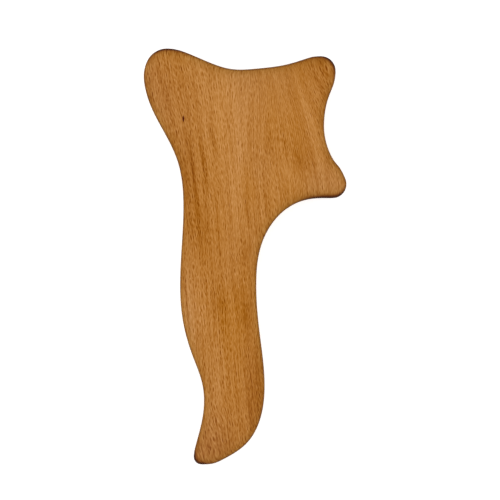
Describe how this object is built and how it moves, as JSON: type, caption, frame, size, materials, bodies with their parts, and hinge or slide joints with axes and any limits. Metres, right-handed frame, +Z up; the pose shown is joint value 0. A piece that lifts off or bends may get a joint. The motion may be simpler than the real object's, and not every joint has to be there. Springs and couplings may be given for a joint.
{
  "type": "gua sha scraper",
  "caption": "Flat wooden gua sha scraper: a wide head with rounded lobes and concave bays, on a long curved handle that ends in a small blunt tip.",
  "frame": {"origin": "centre of the outer box in plan, on the back face that the scraper lies on", "axes": "+Y along the grain from the handle's tip to the head, +Z up out of the front face, +X towards the hook and the two right-hand lobes"},
  "size_m": [0.1194, 0.245, 0.015],
  "materials": {
    "beech": "satin clear finish on sanded beech, with the end-grain rims scorched darker"
  },
  "bodies": {
    "root": {"scraper_board": "beech"}
  },
  "joints": []
}
